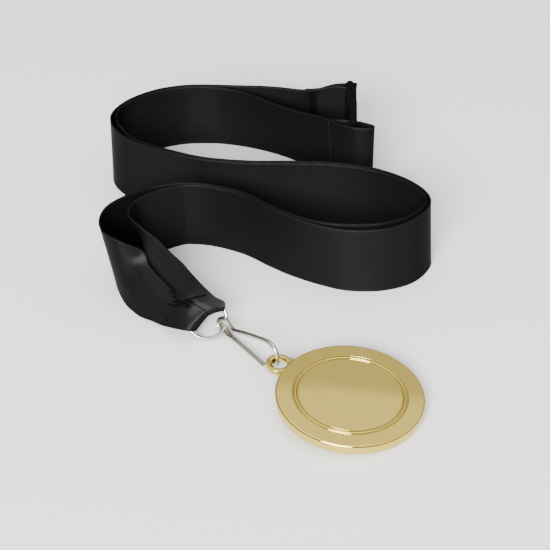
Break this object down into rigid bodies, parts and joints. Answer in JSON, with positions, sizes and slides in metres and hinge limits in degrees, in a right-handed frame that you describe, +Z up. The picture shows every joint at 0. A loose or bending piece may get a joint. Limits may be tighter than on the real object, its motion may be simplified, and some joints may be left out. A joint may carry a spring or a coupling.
{
  "type": "sports medal",
  "caption": "Blank round award medal with an eyelet, on a snap hook, ring and black neck ribbon with a clasp, laid down in loose bends.",
  "frame": {"origin": "middle of the bounding box's outline on the floor", "axes": "+X to the right, +Y away from the viewer along the long side of the pile, +Z up from the floor"},
  "size_m": [0.1132, 0.1857, 0.0284],
  "materials": {
    "ribbon_cloth": "black satin weave with a soft sheen",
    "nickel_wire": "bright warm nickel plate",
    "gold_plate": "pale gold plate, polished, slightly brushed rim",
    "black_plastic": "moulded black, matte"
  },
  "bodies": {
    "root": {"ribbon_far_length": "ribbon_cloth", "ribbon_near_length": "ribbon_cloth", "jump_ring": "nickel_wire", "snap_hook": "nickel_wire", "medal": "gold_plate", "clasp_socket": "black_plastic", "clasp_tongue": "black_plastic"}
  },
  "joints": []
}
